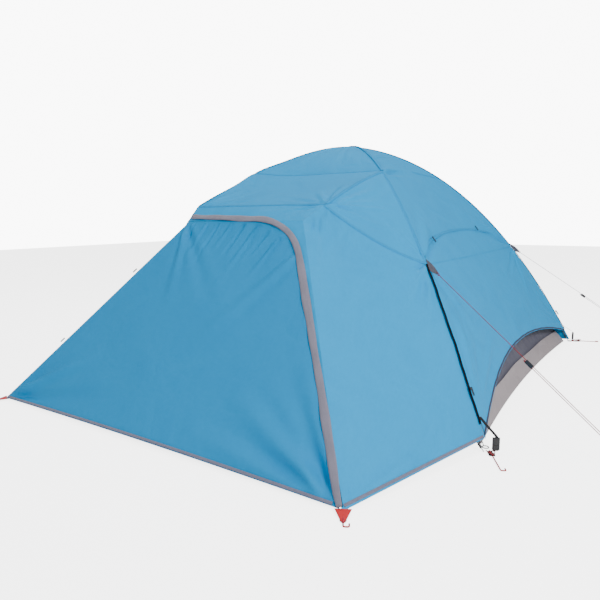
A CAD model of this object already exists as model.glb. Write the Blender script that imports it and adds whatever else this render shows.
import math

import bpy
import mathutils
import numpy as np
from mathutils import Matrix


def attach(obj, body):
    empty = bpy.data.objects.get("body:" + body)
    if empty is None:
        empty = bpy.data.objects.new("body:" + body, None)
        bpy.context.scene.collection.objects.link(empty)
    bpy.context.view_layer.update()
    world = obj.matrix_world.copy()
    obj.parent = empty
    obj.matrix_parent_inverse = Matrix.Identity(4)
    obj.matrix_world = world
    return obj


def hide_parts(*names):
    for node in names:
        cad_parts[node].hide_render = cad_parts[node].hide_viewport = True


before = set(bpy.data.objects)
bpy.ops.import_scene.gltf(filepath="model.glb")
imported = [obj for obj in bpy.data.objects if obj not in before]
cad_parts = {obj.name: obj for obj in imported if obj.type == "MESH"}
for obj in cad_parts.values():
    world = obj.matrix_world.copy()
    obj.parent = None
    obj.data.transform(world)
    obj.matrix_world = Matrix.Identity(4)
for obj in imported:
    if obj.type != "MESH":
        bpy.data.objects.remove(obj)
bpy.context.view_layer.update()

# Dome tent with two crossing poles, a front hoop, a sloping porch, side flaps over vent arches,
# a hanging inner tent and four guy lines. Metres, porch towards -Y, ground at Z = 0.

# ---- The tent's main sizes ------------------------------------------------------------------
HALF_WIDTH, HALF_DEPTH, HEIGHT = 1.206, 1.080, 1.320
POLE_POWER = 1.85
FRONT_BOW, REAR_BOW = 0.030, 0.120
GUY_HEIGHT, SHOULDER_HEIGHT = 0.677, 1.127
RIGHT, LEFT, FRONT, REAR = 1, -1, -1, 1
CORNERS = {
    "front_right": (RIGHT, FRONT),
    "front_left": (LEFT, FRONT),
    "rear_right": (RIGHT, REAR),
    "rear_left": (LEFT, REAR),
}
UP = np.array([0.0, 0.0, 1.0])
PORCH_FOOT = np.array([0.962, -1.780, 0.006])
CABIN_FOOT = np.array([1.206, -1.080, 0.038])
HOOD_CORNER = np.array([0.351, -1.063, 0.870])
BROW_CORNER = np.array([0.402, -0.949, 0.944])
PORCH_Y = -1.780


def unit(v):
    v = np.asarray(v, float)
    return v / np.maximum(np.linalg.norm(v, axis=-1, keepdims=True), 1e-12)


def lerp(a, b, t):
    """Point t of the way from a to b."""
    t = np.asarray(t, float)[..., None]
    return np.asarray(a) * (1 - t) + np.asarray(b) * t


def smooth(t):
    t = np.clip(t, 0, 1)
    return t * t * (3 - 2 * t)


def mirrored(points):
    return np.asarray(points) * np.array([-1.0, 1.0, 1.0])


def rise_at(height):
    """Share of the way up an arm at a height."""
    return 1 - (1 - np.asarray(height) / HEIGHT) ** (1 / POLE_POWER)


def arm_point(share, side, end):
    """An arm runs in plan from the corner to the crossing with a slight outward bow; its height is
    the crossing's height times one minus the remaining share to the pole power."""
    out = 1 - np.asarray(share, float)
    bow = FRONT_BOW if end == FRONT else REAR_BOW
    y = end * (HALF_DEPTH * out + 4 * (1 - out) * out * bow)
    return np.stack([side * HALF_WIDTH * out, y, HEIGHT * (1 - out**POLE_POWER)], axis=-1)


GUY_SHARE = float(rise_at(GUY_HEIGHT))
SHOULDER_SHARE = float(rise_at(SHOULDER_HEIGHT))
GUY_POINT = arm_point(GUY_SHARE, RIGHT, FRONT)
SHOULDER = arm_point(SHOULDER_SHARE, RIGHT, FRONT)


# ---- Meshes from grids ------------------------------------------------------------------------
def object_of(name, vertices, faces, uvs=None):
    mesh = bpy.data.meshes.new(name)
    mesh.from_pydata([tuple(v) for v in vertices], [], [tuple(f) for f in faces])
    if uvs is not None:
        layer = mesh.uv_layers.new(name="cloth")
        loops = np.empty(len(mesh.loops), dtype=np.int32)
        mesh.loops.foreach_get("vertex_index", loops)
        layer.data.foreach_set("uv", np.asarray(uvs, dtype=np.float32)[loops].ravel())
    mesh.shade_smooth()
    thing = bpy.data.objects.new(name, mesh)
    bpy.context.scene.collection.objects.link(thing)
    return thing


def run_lengths(points, axis):
    """Distance along each row of a grid from its first point."""
    steps = np.linalg.norm(np.diff(points, axis=axis), axis=-1)
    zero = np.zeros_like(np.take(steps, [0], axis=axis))
    return np.concatenate([zero, np.cumsum(steps, axis=axis)], axis=axis)


def grid_faces(rows, columns, start=0, flip=False):
    index = np.arange(rows * columns).reshape(rows, columns) + start
    quads = np.stack([index[:-1, :-1], index[1:, :-1], index[1:, 1:], index[:-1, 1:]], axis=-1).reshape(-1, 4)
    return quads[:, ::-1] if flip else quads


def grid_normals(points):
    """Unit normals of a grid from the cross product of its two directions."""
    along = np.gradient(points, axis=0)
    across = np.gradient(points, axis=1)
    return unit(np.cross(along, across))


def outward_normals(points, centre=(0.0, 0.0, 0.25)):
    normals = grid_normals(points)
    middle = points.reshape(-1, 3).mean(axis=0) - np.asarray(centre)
    if (normals.reshape(-1, 3).mean(axis=0) @ middle) < 0:
        normals = -normals
    return normals


def cloth(name, grids, material, body, replaces=(), thickness=0.0):
    """One sheet piece from one or more grids, its faces turned outwards. Unless flat is given, the width
    declared is the sum of the grids' longest rows and the length their longest column. It is no separate
    measure of the cut."""
    vertices, faces, uvs, area, widths, lengths = [], [], [], 0.0, [], []
    count = 0
    for points, centre in grids:
        rows, columns = points.shape[:2]
        normals = grid_normals(points)
        middle = points.reshape(-1, 3).mean(axis=0) - np.asarray(centre)
        flip = (normals.reshape(-1, 3).mean(axis=0) @ middle) < 0
        faces.append(grid_faces(rows, columns, count, flip))
        vertices.append(points.reshape(-1, 3))
        down, across = run_lengths(points, 0), run_lengths(points, 1)
        uvs.append(np.stack([across, down], axis=-1).reshape(-1, 2))
        du = points[1:, :-1] - points[:-1, :-1]
        dv = points[:-1, 1:] - points[:-1, :-1]
        area += float(np.linalg.norm(np.cross(du, dv), axis=-1).sum())
        widths.append(across[:, -1].max())
        lengths.append(down[-1].max())
        count += rows * columns
    thing = object_of(name, np.concatenate(vertices), np.concatenate(faces), np.concatenate(uvs))
    thing.data.materials.append(material)
    if thickness:
        wall = thing.modifiers.new("cloth thickness", "SOLIDIFY")
        wall.thickness = thickness
        wall.offset = -1
    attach(thing, body)
    if replaces:
        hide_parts(*replaces)
    return thing


# ---- Folds and ripples --------------------------------------------------------------------------
def fold_field(points, folds):
    """Sum of long narrow ridges: each falls off as a bell across its line and tapers to its end."""
    total = np.zeros(points.shape[:-1])
    for start, end, width, height in folds:
        start, end = np.asarray(start, float), np.asarray(end, float)
        run = end - start
        t = np.clip(((points - start) @ run) / (run @ run), 0, 1)
        distance = np.linalg.norm(points - (start + t[..., None] * run), axis=-1)
        spread = width * (0.55 + 0.9 * t)
        total += height * np.exp(-((distance / spread) ** 2)) * (1 - t) ** 0.8 * smooth(6 * t + 0.25)
        total -= 0.45 * height * np.exp(-(((distance - 1.7 * spread) / spread) ** 2)) * (1 - t)
    return total


def fan(corner, ends, width, height, seed):
    """Folds that spread from one corner towards several places, alternately high and low."""
    rng = np.random.RandomState(seed)
    folds = []
    for i, end in enumerate(ends):
        sign = 1 if i % 2 == 0 else -0.7
        folds.append((corner, end, width * rng.uniform(0.7, 1.3), sign * height * rng.uniform(0.7, 1.2)))
    return folds


def ripple(points, seed, size, height):
    """Gentle random swell: a sum of plane waves in random directions."""
    rng = np.random.RandomState(seed)
    total = np.zeros(points.shape[:-1])
    for _ in range(10):
        direction = unit(rng.normal(size=3))
        length = size * rng.uniform(0.5, 1.8)
        total += np.sin(points @ direction * (2 * np.pi / length) + rng.uniform(0, 6.28)) * length / size
    return total * height / 4.5


FOLD_GAIN = 1.6


def shaped(points, folds=(), seed=0, swell=0.0016, swell_size=0.22, edge=None):
    """Cloth surface pushed along its normals by its folds and swell, calmed at its sewn edges."""
    normals = outward_normals(points)
    rise = FOLD_GAIN * fold_field(points, folds) + ripple(points, seed, swell_size, swell)
    if edge is None:
        edge = edge_calm(points)
    return points + normals * (rise * edge)[..., None]


def edge_calm(points, reach=0.045):
    """Nearly 0 at the grid's four edges, rising to 1 a hand's width in."""
    down, across = run_lengths(points, 0), run_lengths(points, 1)
    near = np.minimum(
        np.minimum(down, down[-1:] - down),
        np.minimum(across, across[:, -1:] - across),
    )
    return 0.03 + 0.97 * smooth(near / reach)


def strip_piece(name, path, normals, width, lift, material, body, sides=(1.0, 1.0), wave=0.0):
    """Flat tape along a path: five points across, raised by lift, its edges down on the cloth."""
    path, normals = np.asarray(path, float), unit(normals)
    along = unit(np.gradient(path, axis=0))
    across = unit(np.cross(normals, along))
    if wave:
        run = run_lengths(path[:, None], 0)[:, 0]
        path = path + across * (np.sin(run * 41) * 0.6 + np.sin(run * 67 + 1.1) * 0.4)[:, None] * wave
        normals = unit(normals + across * (np.sin(run * 53 + 0.4) * 0.25)[:, None])
    offsets = np.array([-0.5 * sides[0], -0.46 * sides[0], 0.0, 0.46 * sides[1], 0.5 * sides[1]]) * width
    heights = np.array([-0.4, 1.0, 1.12, 1.0, -0.4]) * lift
    points = path[:, None] + across[:, None] * offsets[None, :, None] + normals[:, None] * heights[None, :,
        None]
    run = run_lengths(points, 0)
    uvs = np.stack([np.broadcast_to(offsets, run.shape), run], axis=-1).reshape(-1, 2)
    mean = grid_normals(points)[:, 2]
    flip = (mean * normals).sum() < 0
    thing = object_of(name, points.reshape(-1, 3), grid_faces(len(path), 5, 0, flip), uvs)
    if material is not None:
        thing.data.materials.append(material)
    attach(thing, body)
    return thing


def tube_points(path, radius, sides=10):
    """Round tube along a path, with the ring turned as little as possible from point to point."""
    path = np.asarray(path, float)
    along = unit(np.gradient(path, axis=0))
    reference = UP if abs(along[0] @ UP) < 0.9 else np.array([1.0, 0, 0])
    first = np.empty_like(path)
    first[0] = unit(np.cross(along[0], reference))
    for i in range(1, len(path)):
        first[i] = unit(first[i - 1] - along[i] * (first[i - 1] @ along[i]))
    second = np.cross(along, first)
    angles = np.linspace(0, 2 * np.pi, sides + 1)[:-1]
    ring = np.cos(angles)[None, :, None] * first[:, None] + np.sin(angles)[None, :, None] * second[:, None]
    return path[:, None] + ring * np.broadcast_to(np.asarray(radius), (len(path),))[:, None, None]


def tube_piece(name, paths, radius, material, body, sides=10):
    """Closed round tubes along one or more paths."""
    vertices, faces, count = [], [], 0
    for path in paths:
        rings = tube_points(path, radius, sides)
        rows = len(rings)
        index = np.arange(rows * sides).reshape(rows, sides) + count
        nxt = np.roll(index, -1, axis=1)
        quads = np.stack([index[:-1], nxt[:-1], nxt[1:], index[1:]], axis=-1).reshape(-1, 4)
        faces += [tuple(q) for q in quads]
        faces += [tuple(index[0][::-1]), tuple(index[-1])]
        vertices.append(rings.reshape(-1, 3))
        count += rows * sides
    thing = object_of(name, np.concatenate(vertices), faces)
    thing.data.materials.append(material)
    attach(thing, body)
    return thing


def curved(points, count=40):
    """Smooth line through a few places: a Catmull-Rom curve sampled evenly in its parameter."""
    points = np.asarray(points, float)
    ext = np.concatenate([[2 * points[0] - points[1]], points, [2 * points[-1] - points[-2]]])
    t = np.linspace(0, len(points) - 1 - 1e-9, count)
    i = t.astype(int)
    f = (t - i)[:, None]
    a, b, c, d = ext[i], ext[i + 1], ext[i + 2], ext[i + 3]
    return 0.5 * (2 * b + (c - a) * f + (2 * a - 5 * b + 4 * c - d) * f**2 + (3 * b - a - 3 * c + d) * f**3)


# ---- Materials --------------------------------------------------------------------------------
def group_of(name, inputs, outputs):
    group = bpy.data.node_groups.new(name, "ShaderNodeTree")
    for label, kind, value in inputs:
        socket = group.interface.new_socket(label, in_out="INPUT", socket_type=kind)
        if value is not None:
            socket.default_value = value
    for label, kind in outputs:
        group.interface.new_socket(label, in_out="OUTPUT", socket_type=kind)
    return group, group.nodes.new("NodeGroupInput"), group.nodes.new("NodeGroupOutput")


def math_node(tree, operation, a, b=None, clamp=False):
    node = tree.nodes.new("ShaderNodeMath")
    node.operation = operation
    node.use_clamp = clamp
    for socket, value in zip(node.inputs, (a, b)):
        if value is None:
            continue
        if isinstance(value, (int, float)):
            socket.default_value = value
        else:
            tree.links.new(value, socket)
    return node.outputs[0]


def build_weave():
    """Plain weave: crossed sine threads per metre, with a coarser ripstop grid and thread slubs.
    Puts out a height and a small brightness mask."""
    group, given, out = group_of(
        "cloth weave",
        [("Vector", "NodeSocketVector", None), ("Threads", "NodeSocketFloat", 900.0),
            ("Slub", "NodeSocketFloat", 0.4)],
        [("Height", "NodeSocketFloat"), ("Mask", "NodeSocketFloat")],
    )
    parts = group.nodes.new("ShaderNodeSeparateXYZ")
    group.links.new(given.outputs["Vector"], parts.inputs[0])
    u = math_node(group, "MULTIPLY", parts.outputs[0], given.outputs["Threads"])
    v = math_node(group, "MULTIPLY", parts.outputs[1], given.outputs["Threads"])
    crossed = math_node(group, "MULTIPLY", math_node(group, "SINE", u), math_node(group, "SINE", v))
    slub = group.nodes.new("ShaderNodeTexNoise")
    slub.inputs["Scale"].default_value = 60.0
    slub.inputs["Detail"].default_value = 4.0
    group.links.new(given.outputs["Vector"], slub.inputs["Vector"])
    uneven = math_node(group, "MULTIPLY", slub.outputs["Fac"], given.outputs["Slub"])
    group.links.new(math_node(group, "ADD", crossed, uneven), out.inputs["Height"])
    group.links.new(slub.outputs["Fac"], out.inputs["Mask"])
    return group


def build_creases():
    """Soft packing creases: stretched noise ridges at two sizes, as a height and a mask."""
    group, given, out = group_of(
        "packing creases",
        [("Vector", "NodeSocketVector", None), ("Size", "NodeSocketFloat", 3.0)],
        [("Height", "NodeSocketFloat"), ("Mask", "NodeSocketFloat")],
    )
    broad = group.nodes.new("ShaderNodeTexNoise")
    broad.inputs["Detail"].default_value = 3.0
    broad.inputs["Distortion"].default_value = 1.1
    group.links.new(given.outputs["Vector"], broad.inputs["Vector"])
    group.links.new(given.outputs["Size"], broad.inputs["Scale"])
    ridge = math_node(group, "ABSOLUTE", math_node(group, "SUBTRACT", broad.outputs["Fac"], 0.5))
    fine = group.nodes.new("ShaderNodeTexNoise")
    fine.inputs["Detail"].default_value = 5.0
    group.links.new(given.outputs["Vector"], fine.inputs["Vector"])
    group.links.new(math_node(group, "MULTIPLY", given.outputs["Size"], 5.0), fine.inputs["Scale"])
    fine_ridge = math_node(group, "ABSOLUTE", math_node(group, "SUBTRACT", fine.outputs["Fac"], 0.5))
    both = math_node(group, "ADD", ridge, math_node(group, "MULTIPLY", fine_ridge, 0.3))
    group.links.new(both, out.inputs["Height"])
    group.links.new(math_node(group, "MULTIPLY", ridge, 3.0, clamp=True), out.inputs["Mask"])
    return group


def build_tint():
    """Blends a colour towards a second one by a mask and a strength."""
    group, given, out = group_of(
        "tint by mask",
        [
            ("Base", "NodeSocketColor", (0.5, 0.5, 0.5, 1)),
            ("Tint", "NodeSocketColor", (0.5, 0.5, 0.5, 1)),
            ("Mask", "NodeSocketFloat", 0.5),
            ("Strength", "NodeSocketFloat", 0.2),
        ],
        [("Color", "NodeSocketColor")],
    )
    mix = group.nodes.new("ShaderNodeMix")
    mix.data_type = "RGBA"
    group.links.new(
        math_node(group, "MULTIPLY", given.outputs["Mask"], given.outputs["Strength"], clamp=True),
            mix.inputs["Factor"]
    )
    group.links.new(given.outputs["Base"], mix.inputs["A"])
    group.links.new(given.outputs["Tint"], mix.inputs["B"])
    group.links.new(mix.outputs["Result"], out.inputs["Color"])
    return group


def build_wear():
    """Handling wear: noise at two sizes, as a mask for rubbed colour and changed roughness."""
    group, given, out = group_of(
        "handling wear",
        [("Vector", "NodeSocketVector", None), ("Scale", "NodeSocketFloat", 120.0)],
        [("Mask", "NodeSocketFloat"), ("Height", "NodeSocketFloat")],
    )
    noise = group.nodes.new("ShaderNodeTexNoise")
    noise.inputs["Detail"].default_value = 6.0
    noise.inputs["Roughness"].default_value = 0.62
    group.links.new(given.outputs["Vector"], noise.inputs["Vector"])
    group.links.new(given.outputs["Scale"], noise.inputs["Scale"])
    cut = math_node(group, "SUBTRACT", noise.outputs["Fac"], 0.42)
    group.links.new(math_node(group, "MULTIPLY", cut, 3.5, clamp=True), out.inputs["Mask"])
    group.links.new(noise.outputs["Fac"], out.inputs["Height"])
    return group


WEAVE, CREASES, TINT, WEAR = build_weave(), build_creases(), build_tint(), build_wear()


def placed(tree, group, **values):
    node = tree.nodes.new("ShaderNodeGroup")
    node.node_tree = group
    for label, value in values.items():
        socket = node.inputs[label.replace("_", " ")]
        if hasattr(value, "is_linked"):
            tree.links.new(value, socket)
        else:
            socket.default_value = value
    return node


def rgba(r, g, b):
    return (r, g, b, 1.0)


def fabric_material(name, base, tint, tint_strength=0.4, threads=2600.0, weave=0.25, crease=0.0,
    crease_size=3.0,
                    roughness=0.6, sheen=0.25, specular=0.35, stitch=0.0, uv=True):
    """Woven cloth: weave and creases as bump, creases and slubs as colour variation."""
    material = bpy.data.materials.new(name)
    material.use_nodes = True
    tree = material.node_tree
    shader = tree.nodes["Principled BSDF"]
    coordinates = tree.nodes.new("ShaderNodeTexCoord")
    where = coordinates.outputs["UV"] if uv else coordinates.outputs["Object"]
    weave_node = placed(tree, WEAVE, Vector=where, Threads=threads, Slub=0.5)
    crease_node = placed(tree, CREASES, Vector=coordinates.outputs["Object"], Size=crease_size)
    first = placed(tree, TINT, Base=rgba(*base), Tint=rgba(*tint), Mask=crease_node.outputs["Mask"],
        Strength=tint_strength)
    second = placed(tree, TINT, Base=first.outputs["Color"], Tint=rgba(*[min(1, c * 1.25) for c in base]),
                    Mask=weave_node.outputs["Mask"], Strength=0.35)
    tree.links.new(second.outputs["Color"], shader.inputs["Base Color"])
    bump = tree.nodes.new("ShaderNodeBump")
    bump.inputs["Strength"].default_value = weave
    bump.inputs["Distance"].default_value = 0.0006
    tree.links.new(weave_node.outputs["Height"], bump.inputs["Height"])
    last = bump
    if crease:
        broad = tree.nodes.new("ShaderNodeBump")
        broad.inputs["Strength"].default_value = crease
        broad.inputs["Distance"].default_value = 0.03
        tree.links.new(crease_node.outputs["Height"], broad.inputs["Height"])
        tree.links.new(bump.outputs["Normal"], broad.inputs["Normal"])
        last = broad
    if stitch:
        parts = tree.nodes.new("ShaderNodeSeparateXYZ")
        tree.links.new(where, parts.inputs[0])
        beat = math_node(tree, "SINE", math_node(tree, "MULTIPLY", parts.outputs[1], 2 * math.pi / 0.004))
        rowed = math_node(tree, "COSINE", math_node(tree, "MULTIPLY", parts.outputs[0], 2 * math.pi / stitch))
        stitched = math_node(tree, "MULTIPLY", math_node(tree, "GREATER_THAN", rowed, 0.8), beat)
        thread = tree.nodes.new("ShaderNodeBump")
        thread.inputs["Strength"].default_value = 0.6
        thread.inputs["Distance"].default_value = 0.0008
        tree.links.new(stitched, thread.inputs["Height"])
        tree.links.new(last.outputs["Normal"], thread.inputs["Normal"])
        last = thread
    tree.links.new(last.outputs["Normal"], shader.inputs["Normal"])
    shader.inputs["Roughness"].default_value = roughness
    shader.inputs["Specular IOR Level"].default_value = specular
    shader.inputs["Sheen Weight"].default_value = sheen
    shader.inputs["Sheen Roughness"].default_value = 0.4
    return material


def hard_material(name, base, rubbed, metallic=0.0, roughness=0.4, coat=0.0, scale=120.0, bump=0.15):
    """Moulded, painted or drawn finish: rubbed colour by wear mask, grain as bump."""
    material = bpy.data.materials.new(name)
    material.use_nodes = True
    tree = material.node_tree
    shader = tree.nodes["Principled BSDF"]
    coordinates = tree.nodes.new("ShaderNodeTexCoord")
    wear = placed(tree, WEAR, Vector=coordinates.outputs["Object"], Scale=scale)
    tint = placed(tree, TINT, Base=rgba(*base), Tint=rgba(*rubbed), Mask=wear.outputs["Mask"], Strength=0.55)
    tree.links.new(tint.outputs["Color"], shader.inputs["Base Color"])
    rough = math_node(tree, "ADD", math_node(tree, "MULTIPLY", wear.outputs["Mask"], 0.18), roughness)
    tree.links.new(rough, shader.inputs["Roughness"])
    grain = tree.nodes.new("ShaderNodeBump")
    grain.inputs["Strength"].default_value = bump
    grain.inputs["Distance"].default_value = 0.0004
    tree.links.new(wear.outputs["Height"], grain.inputs["Height"])
    tree.links.new(grain.outputs["Normal"], shader.inputs["Normal"])
    shader.inputs["Metallic"].default_value = metallic
    shader.inputs["Coat Weight"].default_value = coat
    return material


FLY_BLUE = (0.0, 0.310, 0.650)
FLY_DEEP = (0.0, 0.200, 0.480)
fly_cloth = fabric_material("coated polyester, blue", FLY_BLUE, FLY_DEEP, 0.35, crease=0.36, crease_size=3.2,
                            roughness=0.55, sheen=0.0, specular=0.12)
door_cloth = fabric_material("coated polyester, blue, door", (0.0, 0.240, 0.525), FLY_DEEP, 0.4, crease=0.34,
                             crease_size=2.6, roughness=0.55, sheen=0.0, specular=0.12)
seam_cloth = fabric_material("felled seam, blue", (0.0, 0.275, 0.60), (0.0, 0.20, 0.47), 0.4, threads=2200.0,
                             weave=0.4, roughness=0.6, sheen=0.0, specular=0.12, stitch=0.006)
band_cloth = fabric_material("facing tape, mauve grey", (0.20, 0.19, 0.25), (0.14, 0.14, 0.19), 0.5,
    threads=2000.0,
                             weave=0.5, crease=0.1, crease_size=12.0, roughness=0.7, stitch=0.012)
hem_cloth = fabric_material("hem binding, grey mauve", (0.16, 0.16, 0.235), (0.11, 0.115, 0.17), 0.5,
    threads=1800.0,
                            weave=0.5, roughness=0.7, stitch=0.006)
arch_cloth = fabric_material("arch binding, dark mauve", (0.05, 0.045, 0.075), (0.03, 0.03, 0.05), 0.5,
    threads=1800.0,
                             weave=0.5, roughness=0.7, sheen=0.0, stitch=0.006)
zip_cloth = fabric_material("zip tape, black", (0.005, 0.005, 0.007), (0.012, 0.012, 0.015), 0.5,
    threads=1800.0,
                            weave=0.7, roughness=0.85, sheen=0.0, specular=0.1, stitch=0.005)
inner_cloth = fabric_material("breathable nylon, dark grey", (0.070, 0.068, 0.105), (0.04, 0.04, 0.065), 0.5,
                              crease=0.25, crease_size=3.0, roughness=0.65)
mesh_cloth = fabric_material("netting, dark", (0.045, 0.048, 0.055), (0.03, 0.032, 0.038), 0.4,
    threads=1400.0,
                             weave=1.0, roughness=0.8, sheen=0.05)
tub_cloth = fabric_material("laminated groundsheet, warm grey", (0.36, 0.315, 0.33), (0.26, 0.225, 0.24), 0.5,
                            threads=1400.0, weave=0.5, crease=0.35, crease_size=4.0, roughness=0.45,
                                sheen=0.0)
webbing = fabric_material("webbing, black", (0.006, 0.006, 0.008), (0.014, 0.014, 0.016), 0.5, threads=1200.0,
                          weave=0.9, roughness=0.7, uv=True)
red_webbing = fabric_material("webbing, red", (0.62, 0.004, 0.008), (0.42, 0.003, 0.006), 0.5, threads=1200.0,
                              weave=0.9, roughness=0.7, uv=True)
fin_cloth = fabric_material("guy patch, grey", (0.10, 0.10, 0.13), (0.06, 0.06, 0.08), 0.5, threads=1500.0,
                            weave=0.8, roughness=0.7, stitch=0.008)
elastic = fabric_material("braided elastic, white", (0.7, 0.7, 0.71), (0.5, 0.5, 0.5), 0.4, threads=900.0,
                          weave=0.8, uv=False)
fibreglass = hard_material("fibreglass, dark", (0.03, 0.03, 0.033), (0.08, 0.08, 0.08), roughness=0.35,
    coat=0.3)
pole_steel = hard_material("drawn steel", (0.55, 0.56, 0.57), (0.38, 0.38, 0.38), metallic=1.0, roughness=0.3)
black_plastic = hard_material("moulded plastic, black", (0.02, 0.02, 0.022), (0.06, 0.06, 0.06),
    roughness=0.45)
slider_metal = hard_material("zip slider, black enamel", (0.03, 0.03, 0.032), (0.16, 0.16, 0.16), 0.4, 0.35)
peg_paint = hard_material("painted peg wire, red", (0.5, 0.004, 0.008), (0.05, 0.01, 0.01), roughness=0.35,
    coat=0.4)


def cord_material(name, base, fleck, period=0.018):
    """Braided cord: diagonal strands as bump, flecks of a second colour in bands by its UV."""
    material = bpy.data.materials.new(name)
    material.use_nodes = True
    tree = material.node_tree
    shader = tree.nodes["Principled BSDF"]
    coordinates = tree.nodes.new("ShaderNodeTexCoord")
    wear = placed(tree, WEAR, Vector=coordinates.outputs["Object"], Scale=6.283 / period)
    tint = placed(tree, TINT, Base=rgba(*base), Tint=rgba(*fleck), Mask=wear.outputs["Mask"], Strength=0.6)
    tree.links.new(tint.outputs["Color"], shader.inputs["Base Color"])
    wave = tree.nodes.new("ShaderNodeTexWave")
    wave.inputs["Scale"].default_value = 260.0
    tree.links.new(coordinates.outputs["Object"], wave.inputs["Vector"])
    grain = tree.nodes.new("ShaderNodeBump")
    grain.inputs["Strength"].default_value = 0.5
    grain.inputs["Distance"].default_value = 0.0005
    tree.links.new(wave.outputs["Fac"], grain.inputs["Height"])
    tree.links.new(grain.outputs["Normal"], shader.inputs["Normal"])
    shader.inputs["Roughness"].default_value = 0.7
    shader.inputs["Sheen Weight"].default_value = 0.2
    return material


cord_red = cord_material("guy cord, red with black flecks", (0.32, 0.0, 0.004), (0.02, 0.001, 0.002))
cord_pale = cord_material("guy cord, light grey", (0.55, 0.56, 0.6), (0.3, 0.31, 0.36))

# ---- Camera ---------------------------------------------------------------------------------------
VIEW_PITCH, VIEW_YAW, VIEW_ROLL = 0.1536, 0.5899, 0.0075
VIEW_PLACE = np.array([1.6997, -3.1067, 0.8904])
camera_data = bpy.data.cameras.new("view")
camera_data.sensor_width = 36.0
camera_data.lens = 32.495
camera_data.clip_end = 60.0
camera = bpy.data.objects.new("view", camera_data)
bpy.context.scene.collection.objects.link(camera)
heading = np.array([-math.sin(VIEW_YAW), math.cos(VIEW_YAW), 0.0])
right = np.array([math.cos(VIEW_YAW), math.sin(VIEW_YAW), 0.0])
ahead = heading * math.cos(VIEW_PITCH) - UP * math.sin(VIEW_PITCH)
above = heading * math.sin(VIEW_PITCH) + UP * math.cos(VIEW_PITCH)
roll_c, roll_s = math.cos(VIEW_ROLL), math.sin(VIEW_ROLL)
turned = np.eye(4)
turned[:3, 0] = roll_c * right - roll_s * above
turned[:3, 1] = roll_s * right + roll_c * above
turned[:3, 2] = -ahead
turned[:3, 3] = VIEW_PLACE
camera.matrix_world = mathutils.Matrix(turned.tolist())
bpy.context.scene.camera = camera


# ---- Guy lines, runners, pegs and fins ------------------------------------------------------------
GUY_GROUND = {
    "front_right": (1.730, -1.070),
    "rear_right": (1.640, 1.460),
    "front_left": (-1.600, -0.730),
    "rear_left": (-1.640, 1.400),
}
CORD_BEND = 0.004
CORD_DIAMETER = 0.003
PEG_WIRE_HEIGHT = 0.0066
FIN_LENGTH = 0.080


def guy_frame(name):
    """Fin base and tip, the cord's start, its ground point and the directions along and above it."""
    side, end = CORNERS[name]
    base = arm_point(GUY_SHARE, side, end)
    ground = np.array([*GUY_GROUND[name], PEG_WIRE_HEIGHT])
    first = unit(ground - base)
    tip = base + first * FIN_LENGTH
    across = unit(np.cross(first, UP))
    start = tip + first * 0.002
    level = unit(np.cross(across, ground - start))
    level = level if level[2] > 0 else -level
    axis_start = start - level * CORD_BEND
    way = unit(ground - axis_start)
    level = unit(np.cross(across, way))
    level = level if level[2] > 0 else -level
    return base, tip, start, ground, way, across, level, first


for name in CORNERS:
    base, tip, start, ground, way, across, level, first = guy_frame(name)
    axis_start = start - level * CORD_BEND
    span = np.linalg.norm(ground - axis_start)
    runner = axis_start + way * span * 0.5
    knot = runner - way * (0.017 + 0.0032 + 0.001) - level * CORD_BEND
    over = ground + way * CORD_BEND + level * CORD_BEND
    under = ground + way * CORD_BEND - level * CORD_BEND
    points = [start, over - way * 0.018, over, under, under - way * 0.018, knot]
    data = bpy.data.curves.new(f"guy_cord_{name}", "CURVE")
    data.dimensions = "3D"
    spline = data.splines.new("NURBS")
    spline.points.add(len(points) - 1)
    for point, place in zip(spline.points, points):
        point.co = (*place, 1.0)
    spline.order_u = 3
    spline.use_endpoint_u = True
    spline.resolution_u = 24
    data.bevel_depth = CORD_DIAMETER / 2
    data.bevel_resolution = 4
    cord = bpy.data.objects.new(f"guy_cord_{name}", data)
    bpy.context.scene.collection.objects.link(cord)
    red = name.startswith("front")
    data.materials.append(cord_red if red else cord_pale)
    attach(cord, "tent")
    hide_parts(f"guy_line_{name}")
    knot_line = [knot + way * (0.0022 * math.cos(a) + 0.0007 * a - 0.004) + level * 0.0022 * math.sin(a)
                 + across * 0.0012 * math.cos(a / 2) for a in np.linspace(0, 4 * math.pi, 50)]
    knot_piece = tube_piece(f"guy_knot_{name}", [knot_line], 0.0014, cord_red if red else cord_pale, "tent",
                            8)

fin_grids, loop_lines = [], []
for name, (side, end) in CORNERS.items():
    base, tip, start, ground, way, across, level, first = guy_frame(name)
    tangent = unit(arm_point(GUY_SHARE + 0.01, side, end) - arm_point(GUY_SHARE - 0.01, side, end))
    root = base + first * 0.004
    s, t = np.meshgrid(np.linspace(0, 1, 14), np.linspace(-1, 1, 13), indexing="ij")
    half = 0.024 * (1 - s) ** 1.15 + 0.0055
    edge_way = unit(lerp(tangent, np.broadcast_to(unit(np.cross(first, np.cross(tangent, first))),
        (*s.shape, 3)), s))
    points = root + first * (s * (FIN_LENGTH - 0.006))[..., None] + edge_way * (t * half)[..., None]
    fin_grids.append((points, base))
    loop = [tip - first * 0.012 + level * 0.002, tip + first * 0.004 + level * 0.004, tip + first * 0.007,
            tip + first * 0.004 - level * 0.004, tip - first * 0.012 - level * 0.002]
    loop_lines.append(curved(loop, 26))
cloth("guy_patches", fin_grids, fin_cloth, "tent", ["guy_fins"], thickness=0.0012)
tube_piece("guy_loops", loop_lines, 0.0016, cord_red, "tent", 8)


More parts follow.
